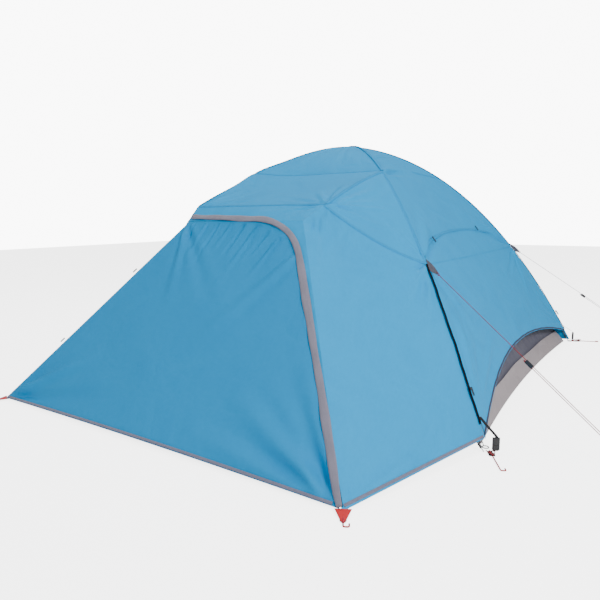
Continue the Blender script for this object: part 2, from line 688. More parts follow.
# ---- Roof panels between the poles ----------------------------------------------------------------
def eased(points):
    """Cloth drawn straight over the left shoulder, where it stands a little off the pole."""
    near = np.linalg.norm((points - mirrored(SHOULDER)) / np.array([0.16, 0.16, 0.12]), axis=-1)
    return points + np.array([-0.006, -0.006, 0.024]) * np.exp(-(near**2))[..., None]


def side_patch(side, shares, v):
    """Roof between the front and rear arms of one side: a straight line at every share up the arms,
    pulled in a little half way between them."""
    front, rear = arm_point(shares, side, FRONT), arm_point(shares, side, REAR)
    points = lerp(front, rear, v)
    pull = 0.012 * np.sin(np.pi * v) * np.sin(np.pi * np.clip(shares, 0, 1))
    return eased(points - unit(np.array([side * 0.8, 0.0, 0.6])) * pull[..., None])


def end_patch(end, shares, v):
    """Roof between the left and right arms of one end."""
    left, right_arm = arm_point(shares, LEFT, end), arm_point(shares, RIGHT, end)
    points = lerp(left, right_arm, v)
    pull = 0.010 * np.sin(np.pi * v) * np.sin(np.pi * np.clip(shares, 0, 1))
    return eased(points - unit(np.array([0.0, end * 0.7, 0.7])) * pull[..., None])


def on_grid(rows, columns):
    return np.meshgrid(np.linspace(0, 1, rows), np.linspace(0, 1, columns), indexing="ij")


def seam_on(name, surface, width=0.012, lift=0.0009, material=None, body="tent", wave=0.0):
    """Raised seam along a line of points with the surface's normals there."""
    path, normals = surface
    return strip_piece(name, path, normals, width, lift, material or seam_cloth, body, wave=wave)


def line_and_normals(function, path_parameters, out):
    """Points of a surface along a line in its two parameters, with normals by finite differences."""
    a, b = path_parameters
    step = 1e-3
    here = function(a, b)
    da = function(a + step, b) - function(a - step, b)
    db = function(a, b + step) - function(a, b - step)
    normals = unit(np.cross(da, db))
    out = np.asarray(out, float)
    return here, np.where(((normals @ out) < 0)[:, None], -normals, normals)


roof_folds = {
    RIGHT: [
        ((0.80, -0.745, 0.69), (0.62, -0.30, 0.93), 0.030, 0.010),
        ((0.80, -0.745, 0.69), (0.72, -0.20, 0.84), 0.026, -0.008),
        ((0.80, 0.84, 0.69), (0.62, 0.30, 0.93), 0.030, 0.009),
        ((0.80, 0.84, 0.69), (0.74, 0.20, 0.82), 0.026, -0.008),
        ((0.44, -0.41, 1.12), (0.36, -0.12, 1.17), 0.020, 0.007),
        ((0.44, -0.41, 1.12), (0.40, 0.05, 1.13), 0.020, -0.006),
        ((0.30, -0.29, 1.205), (0.22, 0.02, 1.25), 0.018, 0.005),
    ]
}
roof_folds[LEFT] = [(mirrored(a), mirrored(b), w, h) for a, b, w, h in roof_folds[RIGHT]]
for side in (RIGHT, LEFT):
    label = "right" if side == RIGHT else "left"
    t, v = on_grid(110, 120)
    shares = GUY_SHARE - 0.003 + (0.9985 - GUY_SHARE + 0.003) * t
    points = side_patch(side, shares, v)
    points = shaped(points, roof_folds[side], seed=3 + side, swell=0.0022, swell_size=0.3)
    cloth(f"roof_{label}", [(points, (0, 0, 0))], fly_cloth, "tent", [f"fly_roof_{label}"])
    v = np.linspace(0.004, 0.996, 90)
    out = (side * 0.8, 0, 0.6)
    strip_path = line_and_normals(lambda a, b: side_patch(side, a, b), (0.647 + 0.03 * np.sin(np.pi * v), v),
        out)
    seam_on(f"crown_seam_{label}", strip_path, 0.014)
    arch = GUY_SHARE + 0.004 + 0.078 * np.sin(np.pi * v) ** 0.45
    seam_on(f"flap_arch_seam_{label}", line_and_normals(lambda a, b: side_patch(side, a, b), (arch, v), out),
        0.016, 0.0018)

for end in (FRONT, REAR):
    label = "front" if end == FRONT else "rear"
    low = SHOULDER_SHARE if end == FRONT else GUY_SHARE
    t, v = on_grid(60 if end == FRONT else 110, 120)
    shares = low + 0.0015 + (0.9985 - low - 0.0015) * t
    folds = [((-0.05, -0.06, 1.32), (-0.2, -0.30, 1.2), 0.02, 0.006),
        ((0.05, -0.06, 1.32), (0.12, -0.35, 1.16), 0.02, -0.005)]
    if end == REAR:
        folds = [((0.80, 0.84, 0.69), (0.3, 0.80, 0.8), 0.03, 0.009),
            ((-0.80, 0.84, 0.69), (-0.3, 0.8, 0.8), 0.03, 0.009)]
    points = shaped(end_patch(end, shares, v), folds, seed=11 + end, swell=0.002, swell_size=0.3)
    cloth(f"roof_{label}", [(points, (0, 0, 0))], fly_cloth, "tent", [f"fly_roof_{label}"])

# seams over the poles, from the shoulders and guy points to the crossing
for name, (side, end) in CORNERS.items():
    low = SHOULDER_SHARE if end == FRONT else GUY_SHARE
    shares = np.linspace(low, 0.995, 80)
    path = arm_point(shares, side, end)
    normals = unit(path * np.array([0.55, 0.55, 1.0]))
    seam_on(f"pole_seam_{name}", (eased(path + normals * 0.001), normals), 0.016, 0.0012)

# ---- Rear panel below the guy points ---------------------------------------------------------------
t, v = on_grid(90, 120)
shares = float(rise_at(0.012)) + (GUY_SHARE - 0.0015 - float(rise_at(0.012))) * t
rear_points = end_patch(REAR, shares, v)
rear_folds = fan((1.19, 1.08, 0.03), [(0.8, 1.12, 0.35), (0.6, 1.12, 0.2), (0.95, 1.06, 0.5)], 0.03, 0.010, 5)
rear_folds += fan((-1.19, 1.08, 0.03), [(-0.8, 1.12, 0.35), (-0.6, 1.12, 0.2), (-0.95, 1.06, 0.5)], 0.03,
    0.010, 6)
rear_points = shaped(rear_points, rear_folds, seed=21, swell=0.003, swell_size=0.35)
cloth("rear_panel", [(rear_points, (0, 0, 0))], fly_cloth, "tent", ["fly_rear_panel"])
seam_on("rear_guy_seam", line_and_normals(lambda a, b: end_patch(REAR, a, b),
    (np.full(80, GUY_SHARE), np.linspace(0.01, 0.99, 80)), (0, 0.8, 0.5)), 0.014)


# ---- Side flaps with their vent arch ---------------------------------------------------------------
def arch_height(y):
    """Lower edge of a side flap: highest just in front of the middle, falling as a power of the
    distance to each side, a little faster to the front."""
    away = y + 0.05
    return 0.217 - np.where(away < 0, 0.181 * np.abs(away) ** 2.3, 0.117 * away**2)


def flap_surface(side, t, v):
    """Side flap: t from the arch to the guy line level, v from the front arm to the rear arm."""
    y = lerp(arm_point(0.03, side, FRONT), arm_point(0.03, side, REAR), v)[..., 1]
    low = rise_at(np.maximum(arch_height(y), 0.02))
    shares = low + (GUY_SHARE - 0.0005 - low) * t
    tuck = 0.0015 * smooth((t - 0.9) / 0.1)
    return side_patch(side, shares, v) - np.array([side * 0.9, 0.0, 0.45]) * tuck[..., None]


for side in (RIGHT, LEFT):
    label = "right" if side == RIGHT else "left"
    body = f"side_flap_{label}"
    t, v = on_grid(90, 130)
    folds = fan((1.12, -1.00, 0.10), [(0.95, -0.72, 0.50), (1.02, -0.62, 0.36), (1.04, -0.40, 0.33),
        (0.93, -0.80, 0.52)], 0.022, 0.012, 31)
    folds += fan((0.83, -0.74, 0.66), [(1.0, -0.60, 0.34), (0.95, -0.35, 0.40), (0.90, -0.55, 0.55)], 0.022,
        0.010, 32)
    folds += fan((1.14, 1.08, 0.10), [(0.98, 0.75, 0.45), (1.04, 0.62, 0.32), (0.95, 0.9, 0.5)], 0.022,
        0.010, 33)
    folds += fan((0.83, 0.83, 0.66), [(1.0, 0.6, 0.36), (0.93, 0.35, 0.48)], 0.022, 0.009, 34)
    if side == LEFT:
        folds = [(mirrored(a), mirrored(b), w, h) for a, b, w, h in folds]
    points = shaped(flap_surface(side, t, v), folds, seed=41 + side, swell=0.003, swell_size=0.28)
    cloth(f"flap_{label}", [(points, (0, 0, 0))], fly_cloth, body, [f"side_flap_{label}"])
    edge_v = np.linspace(0.002, 0.998, 110)
    edge_line = line_and_normals(lambda a, b: flap_surface(side, a, b), (np.full(110, 0.012), edge_v),
        (side, 0, 0.4))
    strip_piece(f"vent_binding_{label}", edge_line[0], edge_line[1], 0.009, 0.0014, arch_cloth, body,
        wave=0.001)

# ---- Porch sides --------------------------------------------------------------------------------
SEAM_DROP = unit((PORCH_FOOT + CABIN_FOOT) / 2 - (BROW_CORNER + GUY_POINT) / 2)


def porch_side_surface(u, v):
    """Porch side on the right: from the door's edge (u=0) to the pole (u=1), and from the hem (v=0)
    to the sagging seam between brow and guy point (v=1). The door's edge bends at the hood."""
    bend = 0.90
    foot = lerp(PORCH_FOOT * np.array([1.0, 1.0, 0.0]), HOOD_CORNER, 0.0069)
    front = np.where((v < bend)[..., None], lerp(foot, HOOD_CORNER, v / bend),
        lerp(HOOD_CORNER, BROW_CORNER, (v - bend) / (1 - bend)))
    low = float(rise_at(0.038))
    arm = arm_point(low + (GUY_SHARE - low) * v, RIGHT, FRONT)
    points = lerp(front, arm, u)
    points = points + SEAM_DROP * (0.045 * 4 * u * (1 - u) * v**8)[..., None]
    normal = unit(np.array([0.74, -0.5, 0.42]))
    bulge = 0.012 * np.sin(np.pi * u) * np.sin(np.pi * v)
    return points - normal * bulge[..., None]


porch_side_folds = fan(tuple(PORCH_FOOT + [0.0, 0.02, 0.02]),
    [(1.02, -1.35, 0.16), (0.95, -1.45, 0.34), (1.08, -1.28, 0.08), (0.82, -1.45, 0.45)], 0.020, 0.010, 51)
porch_side_folds += fan(tuple(CABIN_FOOT + [-0.01, -0.01, 0.02]),
    [(1.06, -1.25, 0.30), (1.08, -1.40, 0.12), (1.0, -1.1, 0.4)], 0.020, 0.011, 52)
porch_side_folds += fan(tuple(GUY_POINT), [(0.86, -1.12, 0.45), (0.80, -1.0, 0.62), (0.98, -1.05, 0.36),
    (0.70, -1.05, 0.66)], 0.020, 0.010, 53)
porch_side_folds += fan(tuple(BROW_CORNER), [(0.60, -1.15, 0.66), (0.50, -1.2, 0.68), (0.68, -1.05, 0.72),
    (0.44, -1.15, 0.74)], 0.016, 0.009, 54)
bend_folds = [((0.40 - 0.03 * k, -0.96 - 0.05 * k, 0.935 - 0.03 * k),
    (0.47 + 0.02 * k, -1.15 - 0.06 * k, 0.62 - 0.05 * k), 0.009, 0.006 * (1, -1)[k % 2]) for k in range(4)]
drape = bend_folds + [((0.402 + 0.416 * k, -0.949 + 0.19 * k, 0.93 - 0.29 * k),
    (0.44 + 0.43 * k, -1.02 + 0.14 * k, 0.80 - 0.28 * k), 0.010, 0.0055) for k in np.linspace(0.12, 0.85, 8)]
for side in (RIGHT, LEFT):
    label = "right" if side == RIGHT else "left"
    u, v = on_grid(110, 130)
    u = 0.998 * u
    v = 0.001 + 0.999 * v
    points = porch_side_surface(u, v)
    points = shaped(points, porch_side_folds + drape, seed=61, swell=0.003, swell_size=0.3)
    if side == LEFT:
        points = mirrored(points)
    cloth(f"porch_side_cloth_{label}", [(points, (0, -0.6, 0))], fly_cloth, "tent", [f"porch_side_{label}"])
    place = (lambda p: p) if side == RIGHT else mirrored
    w = np.linspace(0.004, 0.996, 90)
    path, normals = line_and_normals(porch_side_surface, (w, np.full(90, 0.994)), (0.5, -0.5, 0.6))
    strip_piece(f"brow_guy_seam_{label}", place(path), place(normals), 0.014, 0.0016, seam_cloth, "tent")


# ---- Gussets between brow, guy point and shoulder ---------------------------------------------------
def gusset_surface(t, r):
    """Cloth from the arm (r=0) to the brow corner (r=1), t from the guy point up to the shoulder."""
    arm = arm_point(GUY_SHARE + (SHOULDER_SHARE - GUY_SHARE) * t, RIGHT, FRONT)
    points = lerp(arm, np.broadcast_to(BROW_CORNER, arm.shape), r)
    points = points + SEAM_DROP * (0.045 * 4 * r * (1 - r) * (1 - t) ** 4)[..., None]
    lift = 0.012 * 4 * r * (1 - r) * t**3
    return points + UP * lift[..., None]


t, r = on_grid(70, 80)
r = 0.001 + 0.997 * r
gusset_folds = fan(tuple(BROW_CORNER), [(0.62, -0.62, 0.90), (0.55, -0.60, 1.0), (0.68, -0.72, 0.78),
    (0.48, -0.60, 1.05)], 0.014, 0.006, 71)
gusset_folds += fan(tuple(GUY_POINT), [(0.62, -0.75, 0.84), (0.66, -0.66, 0.88)], 0.016, 0.007, 72)
points = shaped(gusset_surface(t, r), gusset_folds, seed=73, swell=0.002, swell_size=0.25)
cloth("gussets", [(points, (0, 0, 0)), (eased(mirrored(points)), (0, 0, 0))], fly_cloth, "tent",
    ["shoulder_gussets"])
for side in (RIGHT, LEFT):
    place = (lambda p: p) if side == RIGHT else mirrored
    label = "right" if side == RIGHT else "left"
    path, normals = line_and_normals(gusset_surface, (np.full(70, 0.985), np.linspace(0.004, 0.99, 70)),
        (0.3, -0.3, 0.9))
    strip_piece(f"brow_shoulder_seam_{label}", eased(place(path)), place(normals), 0.016, 0.002, seam_cloth,
        "tent")
    path, normals = line_and_normals(gusset_surface, (np.linspace(0.01, 0.99, 70), np.full(70, 0.012)),
        (0.6, -0.5, 0.5))
    strip_piece(f"arm_seam_{label}", eased(place(path)), place(normals), 0.014, 0.0016, seam_cloth, "tent")


# ---- Brow slope and hood -----------------------------------------------------------------------------
def brow_surface(u, v):
    """Front slope from the brow bar (v=0) up to the shoulders (v=1), u from left to right."""
    low = lerp(mirrored(BROW_CORNER), BROW_CORNER, u)
    high = lerp(mirrored(SHOULDER), SHOULDER, u)
    points = lerp(low, high, v)
    sag = 0.010 * np.sin(np.pi * u) * np.sin(np.pi * v) - 0.012 * (np.abs(2 * u - 1) ** 10) * 4 * v * (1 - v)
    return eased(points - UP * sag[..., None])


def hood_surface(u, v):
    """Hood from its front edge (v=0) up to the brow bar (v=1)."""
    low = lerp(mirrored(HOOD_CORNER), HOOD_CORNER, u)
    high = lerp(mirrored(BROW_CORNER), BROW_CORNER, u)
    points = lerp(low, high, v)
    return points + UP * (0.008 * np.sin(np.pi * u) * np.sin(np.pi * v))[..., None]


u, v = on_grid(110, 70)
brow_folds = fan(tuple(mirrored(BROW_CORNER)), [(-0.2, -0.70, 1.03), (0.0, -0.82, 0.99), (-0.3, -0.6, 1.06)],
    0.02, 0.006, 81)
brow_folds += fan(tuple(BROW_CORNER), [(0.2, -0.70, 1.03), (0.0, -0.80, 0.995), (0.33, -0.6, 1.06)], 0.018,
    0.006, 82)
brow_points = shaped(brow_surface(u, v), brow_folds, seed=83, swell=0.002, swell_size=0.25)
u2, v2 = on_grid(110, 24)
hood_folds = fan(tuple(BROW_CORNER), [(0.2, -1.0, 0.91), (0.05, -0.99, 0.915), (0.3, -1.03, 0.89)], 0.012,
    0.006, 84)
hood_points = shaped(hood_surface(u2, v2), hood_folds, seed=85, swell=0.0015, swell_size=0.15)
cloth("brow_and_hood_cloth", [(brow_points, (0, 0, 0)), (hood_points, (0, 0, 0))], fly_cloth, "tent",
    ["brow_and_hood"])
w = np.linspace(0.004, 0.996, 90)
path, normals = line_and_normals(hood_surface, (w, np.full(90, 0.995)), (0, -0.4, 0.9))
strip_piece("brow_seam", path, normals, 0.016, 0.0018, seam_cloth, "tent")
path, normals = line_and_normals(brow_surface, (w, np.full(90, 0.995)), (0, -0.4, 0.9))
strip_piece("shoulder_seam", path, normals, 0.014, 0.0014, seam_cloth, "tent")

# ---- Door, its surround and the storm flap over the zip ------------------------------------------------
SLOPE_UP = unit(np.array([0.0, HOOD_CORNER[1] - PORCH_Y, HOOD_CORNER[2]]))
DOOR_OUT = unit(np.cross([1.0, 0, 0], SLOPE_UP))
DOOR_HEAD = float(np.hypot(HOOD_CORNER[1] - PORCH_Y, HOOD_CORNER[2]))
LEG_FOOT, LEG_LEAN, BAND_TOP, BAND_RADIUS = 0.957, 0.583, 1.138, 0.400
EDGE_LEAN = (0.962 - 0.351) / DOOR_HEAD


def on_door(s, t, out=0.0):
    """Point of the door's plane: s across, t up the slope, out from the cloth."""
    s, t, out = np.broadcast_arrays(np.asarray(s, float), np.asarray(t, float), np.asarray(out, float))
    return np.array([0.0, PORCH_Y, 0.0]) + s[..., None] * np.array([1.0, 0, 0]) + t[...,
        None] * SLOPE_UP + out[..., None] * DOOR_OUT


lean_angle = math.atan2(1.0, LEG_LEAN)
bend_run = BAND_RADIUS * math.tan((math.pi - (math.pi - lean_angle)) / 2)
corner_s = LEG_FOOT - LEG_LEAN * BAND_TOP
bend_s, bend_t = corner_s - bend_run, BAND_TOP - BAND_RADIUS
leg_end_t = bend_t + BAND_RADIUS * math.cos(lean_angle)


def door_reach(t, shift=0.0):
    """Right-hand limit of the door at a slope height: the band's straight leg, then its round bend."""
    leg = LEG_FOOT - LEG_LEAN * t + shift * math.hypot(1, LEG_LEAN)
    radius = BAND_RADIUS + shift
    bend = bend_s + np.sqrt(np.maximum(radius**2 - (t - bend_t) ** 2, 0))
    return np.where(t < leg_end_t, leg, bend)


def band_line():
    """Centre line of the storm flap in the door's plane: up the leg, round the bend, along the top,
    with its far end lifted over the hood's edge."""
    leg_t = np.linspace(0.018, leg_end_t, 110)
    leg = np.stack([door_reach(leg_t), leg_t], axis=-1)
    start_angle = math.asin(min(1, (leg_end_t - bend_t) / BAND_RADIUS))
    angles = np.linspace(start_angle, math.pi / 2, 60)[1:]
    bend = np.stack([bend_s + BAND_RADIUS * np.cos(angles), bend_t + BAND_RADIUS * np.sin(angles)], axis=-1)
    top_s = np.linspace(bend_s, -0.343, 50)[1:]
    top = np.stack([top_s, BAND_TOP + 0.013 * smooth((bend_s - top_s) / 0.4)], axis=-1)
    return np.concatenate([leg, bend, top])


DOOR_FOOT = 0.013           # lower edge of the door, up its slope
t, u = on_grid(130, 130)
t = DOOR_FOOT + (DOOR_HEAD - 0.002 - DOOR_FOOT) * t
left_s = -0.962 + EDGE_LEAN * t + 0.0003
right_s = door_reach(t, -0.004)
door_flat = on_door(left_s + (right_s - left_s) * u, t)
hem_sag = 0.010 * np.sin(np.pi * u) * np.exp(-t / 0.06)
door_flat = door_flat + UP * hem_sag[..., None]
door_folds = []
gather = [(-0.30, 1.115), (-0.22, 1.118), (-0.14, 1.118), (-0.05, 1.118), (0.03, 1.115), (0.11, 1.10),
    (0.19, 1.07), (0.26, 1.02)]
for i, (s0, t0) in enumerate(gather):
    door_folds.append((on_door(s0, t0), on_door(s0 * 0.9 - 0.05, t0 - 0.17 - 0.05 * (i % 3)), 0.010,
        0.007 * (1 if i % 2 else -0.8)))
door_folds += [
    (on_door(0.90, 0.03), on_door(0.35, 0.30), 0.035, 0.016),
    (on_door(0.90, 0.03), on_door(0.55, 0.45), 0.030, -0.010),
    (on_door(0.86, 0.02), on_door(0.20, 0.12), 0.030, 0.010),
    (on_door(-0.93, 0.03), on_door(-0.45, 0.35), 0.030, 0.014),
    (on_door(-0.93, 0.03), on_door(-0.25, 0.16), 0.030, -0.009),
    (on_door(-0.93, 0.03), on_door(-0.70, 0.50), 0.025, 0.008),
    (on_door(-0.36, 1.10), on_door(-0.20, 0.62), 0.022, 0.008),
    (on_door(-0.36, 1.10), on_door(0.10, 0.60), 0.030, -0.006),
    (on_door(0.40, 0.94), on_door(0.05, 0.45), 0.030, 0.007),
]
door_points = shaped(door_flat, door_folds, seed=91, swell=0.0035, swell_size=0.35)
cloth("door_cloth", [(door_points, (0, -0.6, 0))], door_cloth, "front_door", ["front_door"])


s_line = np.linspace(-0.945, 0.918, 140)
hem_path = on_door(s_line, 0.021, 0.0015) + UP * (0.010 * np.sin(np.pi * (s_line + 0.962) / 1.9))[:, None]
door_hem = strip_piece("door_hem_tape", hem_path, np.broadcast_to(DOOR_OUT, (140, 3)), 0.011, 0.0016,
    hem_cloth, "front_door")
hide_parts("door_hem")

# The surround tapers and curves too much for its enclosing rectangle to be declared. The width in flat
# is not a measure of it.
t, u = on_grid(120, 26)
t = DOOR_FOOT + (DOOR_HEAD - 0.0003 - DOOR_FOOT) * t
right_s = 0.962 - EDGE_LEAN * t
left_s = np.minimum(door_reach(t, 0.002), right_s - 0.002)
surround_points = shaped(on_door(left_s + (right_s - left_s) * u, t), [], seed=95, swell=0.0012)
cloth("door_surround_cloth", [(surround_points, (0, -0.6, 0))], fly_cloth, "tent", ["door_surround"])

line = band_line()
run = run_lengths(line[:, None], 0)[:, 0]
along2 = unit(np.gradient(line, axis=0))
side2 = np.stack([along2[:, 1], -along2[:, 0]], axis=-1)
offsets = np.linspace(-1, 1, 9)
end_pull = smooth(run / 0.05) * 0.25 + 0.75
widths = 0.0165 * end_pull * (1 + 0.12 * np.sin(run * 9)) * (1 - 0.12 * smooth((run - 1.4) / 0.3)
    + 0.25 * smooth((run - 1.75) / 0.2))
band2 = line[:, None] + side2[:, None] * (offsets[None, :, None] * widths[:, None, None])
limit = 0.962 - EDGE_LEAN * band2[..., 1] + 0.004
band2[..., 0] = np.where(band2[..., 1] < 0.6, np.minimum(band2[..., 0], limit), band2[..., 0])
wavy = 0.0018 * np.sin(run * 37)[:, None] * offsets[None, :] + 0.0016 * np.sin(run * 23 + 1)[:, None]
band_points = on_door(band2[..., 0], band2[..., 1], 0.0085 + wavy - 0.004 * np.abs(offsets[None, :]) ** 3)
cloth("storm_flap_cloth", [(band_points, (0, -0.6, 0))], band_cloth, "tent", ["storm_flap"],
    thickness=0.0016)

zip_line = band_line()[:-52]
zip_path = on_door(zip_line[:, 0], zip_line[:, 1], 0.0020)
door_zip = strip_piece("door_zip_tape", zip_path, np.broadcast_to(DOOR_OUT, zip_path.shape), 0.018, 0.0012,
    zip_cloth, "tent")
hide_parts("door_zip")

# ---- Flap zips beside the arms --------------------------------------------------------------------------
zip_vertices, zip_faces, zip_uvs, count = [], [], [], 0
for name, (side, end) in CORNERS.items():
    shares = np.linspace(0.035, GUY_SHARE - 0.004, 120)
    path = arm_point(shares, side, end)
    run = run_lengths(path[:, None], 0)[:, 0]
    if end == FRONT:
        normals = unit(np.array([side * 0.85, -0.28, 0.42]))
    else:
        normals = unit(np.array([side * 0.75, 0.45, 0.45]))
    normals = np.broadcast_to(normals, path.shape)
    along = unit(np.gradient(path, axis=0))
    across = unit(np.cross(normals, along))
    if across[:, 1].mean() * -end < 0:
        across = -across
    sway = -0.0085 + 0.0014 * np.sin(run * 21 + side) + 0.001 * np.sin(run * 43) + 0.0005 * np.sin(run * 97)
    path = path + across * sway[:, None] + normals * 0.0045
    points = np.stack([path + across * k * 0.0055 + normals * h for k,
        h in ((-1, -0.001), (-0.9, 0.001), (0, 0.0016), (0.9, 0.001), (1, -0.001))], axis=1)
    flip = (grid_normals(points)[:, 2] * normals).sum() < 0
    zip_faces.append(grid_faces(len(path), 5, count, flip))
    zip_vertices.append(points.reshape(-1, 3))
    along_run = run_lengths(points, 0)
    zip_uvs.append(np.stack([np.broadcast_to(np.array([-0.009, -0.008, 0, 0.008, 0.009]), along_run.shape),
        along_run], axis=-1).reshape(-1, 2))
    count += points.shape[0] * 5
flap_zips = object_of("flap_zip_tapes", np.concatenate(zip_vertices), np.concatenate(zip_faces),
    np.concatenate(zip_uvs))
flap_zips.data.materials.append(zip_cloth)
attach(flap_zips, "tent")
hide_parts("flap_zips")

# ---- Hems ----------------------------------------------------------------------------------------------
hem_vertices, hem_faces, hem_uvs, count = [], [], [], 0
hem_runs = []
w = np.linspace(0.01, 0.99, 90)
path, normals = line_and_normals(porch_side_surface, (w, np.full(90, 0.011)), (0.8, -0.5, 0.2))
hem_runs += [(path, normals), (mirrored(path), mirrored(normals))]
hem_runs.append(line_and_normals(lambda a, b: end_patch(REAR, a, b), (np.full(90, float(rise_at(0.016))), w),
    (0, 0.9, 0.2)))
for path, normals in hem_runs:
    along = unit(np.gradient(path, axis=0))
    across = unit(np.cross(normals, along))
    points = np.stack([path + across * k * 0.0055 + normals * h for k,
        h in ((-1, -0.0005), (-0.9, 0.0016), (0, 0.002), (0.9, 0.0016), (1, -0.0005))], axis=1)
    flip = (grid_normals(points)[:, 2] * normals).sum() < 0
    hem_faces.append(grid_faces(len(path), 5, count, flip))
    hem_vertices.append(points.reshape(-1, 3))
    along_run = run_lengths(points, 0)
    hem_uvs.append(np.stack([np.broadcast_to(np.array([-0.008, -0.007, 0, 0.007, 0.008]), along_run.shape),
        along_run], axis=-1).reshape(-1, 2))
    count += points.shape[0] * 5
hems = object_of("hem_tapes", np.concatenate(hem_vertices), np.concatenate(hem_faces),
    np.concatenate(hem_uvs))
hems.data.materials.append(hem_cloth)
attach(hems, "tent")
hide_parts("fly_hems")

# ---- Inner tent ------------------------------------------------------------------------------------------
FLOOR_X, FLOOR_Y = HALF_WIDTH - 0.036, HALF_DEPTH - 0.036
TOP_X, TOP_Y, TOP_Z, PEAK_Z, TUB_Z = 0.430, 0.420, 1.050, 1.215, 0.170
WALLS = {"front": (0, -1), "right": (1, 0), "rear": (0, 1), "left": (-1, 0)}


def inner_wall(facing, height, v):
    """Sloping inner wall, v from one corner ridge to the other; its foot pulls in between corners."""
    share = height / TOP_Z
    hx = FLOOR_X + (TOP_X - FLOOR_X) * share
    hy = FLOOR_Y + (TOP_Y - FLOOR_Y) * share
    pull = 4 * v * (1 - v) * (0.045 * np.exp(-height / 0.12) + 0.012 * np.sin(np.pi * share))
    across = 2 * v - 1
    if facing in ("right", "left"):
        side = WALLS[facing][0]
        return np.stack([side * (hx - pull), across * hy, height + 0 * v], axis=-1)
    end = WALLS[facing][1]
    return np.stack([across * hx, end * (hy - pull), height + 0 * v], axis=-1)


TUB_RIM = 0.088
tub_grids, wall_grids = [], []
for facing in WALLS:
    h, v = on_grid(18, 90)
    rim = TUB_RIM + 0.003 * np.sin(v * 17) * np.sin(np.pi * v) - 0.010 * (2 * v - 1) ** 2
    points = inner_wall(facing, 0.003 + (rim - 0.003) * h, v)
    points = shaped(points, [], seed=101 + len(facing), swell=0.004, swell_size=0.22)
    points[..., 2] = np.maximum(points[..., 2], 0.0022)
    tub_grids.append((points, (0, 0, 0)))
    h, v = on_grid(60, 80)
    rim = TUB_RIM - 0.012 - 0.010 * (2 * v - 1) ** 2
    points = inner_wall(facing, rim + (TOP_Z - 0.004 - rim) * h, v)
    bags = np.array([(0.0, 1.0)[facing in ("front", "rear")], (1.0, 0.0)[facing in ("front", "rear")], 0.0])
    folds = [(points[2, k], points[40, k] + bags * 0.05, 0.014, 0.008 * (1, -1)[k % 2]) for k in range(6, 76,
        5)]
    points = shaped(points, folds, seed=111 + len(facing), swell=0.004, swell_size=0.3)
    points = points - np.array([*WALLS[facing], 0.0]) * (0.007 * np.exp(-h / 0.15))[..., None]
    if facing != "front":
        wall_grids.append((points, (0, 0, 0)))
s, v = on_grid(60, 60)
floor_x = (2 * s - 1) * (FLOOR_X - 0.05)
floor_y = (2 * v - 1) * (FLOOR_Y - 0.05)
floor_points = np.stack([floor_x, floor_y, 0.0025 + 0.0 * s], axis=-1)
floor_points[..., 2] += 0.001 * (1 + np.sin(floor_x * 19) * np.sin(floor_y * 23))
tub_grids.append((floor_points, (0, 0, -5)))
cloth("tub", tub_grids, tub_cloth, "tent", ["bathtub_floor"])
cloth("inner_side_walls", wall_grids, inner_cloth, "tent", ["inner_walls"])

WALL_UP = unit(np.array([0.0, FLOOR_Y - TOP_Y, TOP_Z]))
WALL_OUT = unit(np.cross([1.0, 0, 0], WALL_UP))


def on_front_wall(s, t, out=0.0):
    """Point of the inner front wall's plane: s across, t up the slope."""
    s, t, out = np.broadcast_arrays(np.asarray(s, float), np.asarray(t, float), np.asarray(out, float))
    return np.array([0.0, -FLOOR_Y, 0.0]) + s[..., None] * np.array([1.0, 0, 0]) + t[...,
        None] * WALL_UP + out[..., None] * WALL_OUT


DOOR_HALF, DOOR_SILL, DOOR_TIP, DOOR_ROUND = 0.360, 0.215, 1.010, 0.250


def inner_reach(t, grow=0.0):
    """Half width of the inner door at a slope height, with round top corners."""
    radius = DOOR_ROUND + grow
    centre = DOOR_TIP + grow - radius
    half = DOOR_HALF + grow
    rounded = half - radius + np.sqrt(np.maximum(radius**2 - (t - centre) ** 2, 0))
    return np.where(t < centre, half, rounded)


slope_top = TOP_Z / WALL_UP[2]
slope_low = (TUB_RIM - 0.020) / WALL_UP[2]


def wall_half(t):
    share = t / slope_top
    return FLOOR_X + (TOP_X - FLOOR_X) * share


front_grids = []
for side in (RIGHT, LEFT):
    t, u = on_grid(70, 40)
    t = slope_low + (slope_top - 0.004 - slope_low) * t
    inside = np.where((t > DOOR_SILL - 0.004) & (t < DOOR_TIP + 0.004),
        inner_reach(np.clip(t, DOOR_SILL, DOOR_TIP + 0.0039), 0.004), 0.0)
    s = inside + (wall_half(t) - 0.002 - inside) * u
    points = on_front_wall(side * s, t, -0.001)
    front_grids.append((points, (0, 0, 0)))
cloth("inner_front_wall", front_grids, inner_cloth, "tent", ["inner_wall_front"])
t, u = on_grid(70, 60)
t = DOOR_SILL + 0.001 + (DOOR_TIP - DOOR_SILL - 0.002) * t
points = shaped(on_front_wall((2 * u - 1) * (inner_reach(t) - 0.001), t, -0.001), [], seed=121, swell=0.0025,
    swell_size=0.25)
cloth("inner_door_cloth", [(points, (0, 0, 0))], inner_cloth, "inner_door", ["inner_door"])
line_t = np.concatenate([np.full(40, DOOR_SILL - 0.012), np.linspace(DOOR_SILL, DOOR_TIP - DOOR_ROUND, 60)])
line_s = np.concatenate([np.linspace(0, DOOR_HALF + 0.012, 40), np.full(60, DOOR_HALF + 0.012)])
angles = np.linspace(0, math.pi / 2, 40)
line_s = np.concatenate([line_s, DOOR_HALF - DOOR_ROUND + (DOOR_ROUND + 0.012) * np.cos(angles), [0.0]])
line_t = np.concatenate([line_t, DOOR_TIP - DOOR_ROUND + (DOOR_ROUND + 0.012) * np.sin(angles),
    [DOOR_TIP + 0.012]])
line_s = np.concatenate([line_s, -line_s[::-1][1:]])
line_t = np.concatenate([line_t, line_t[::-1][1:]])
zip_path = on_front_wall(line_s, line_t, 0.0012)
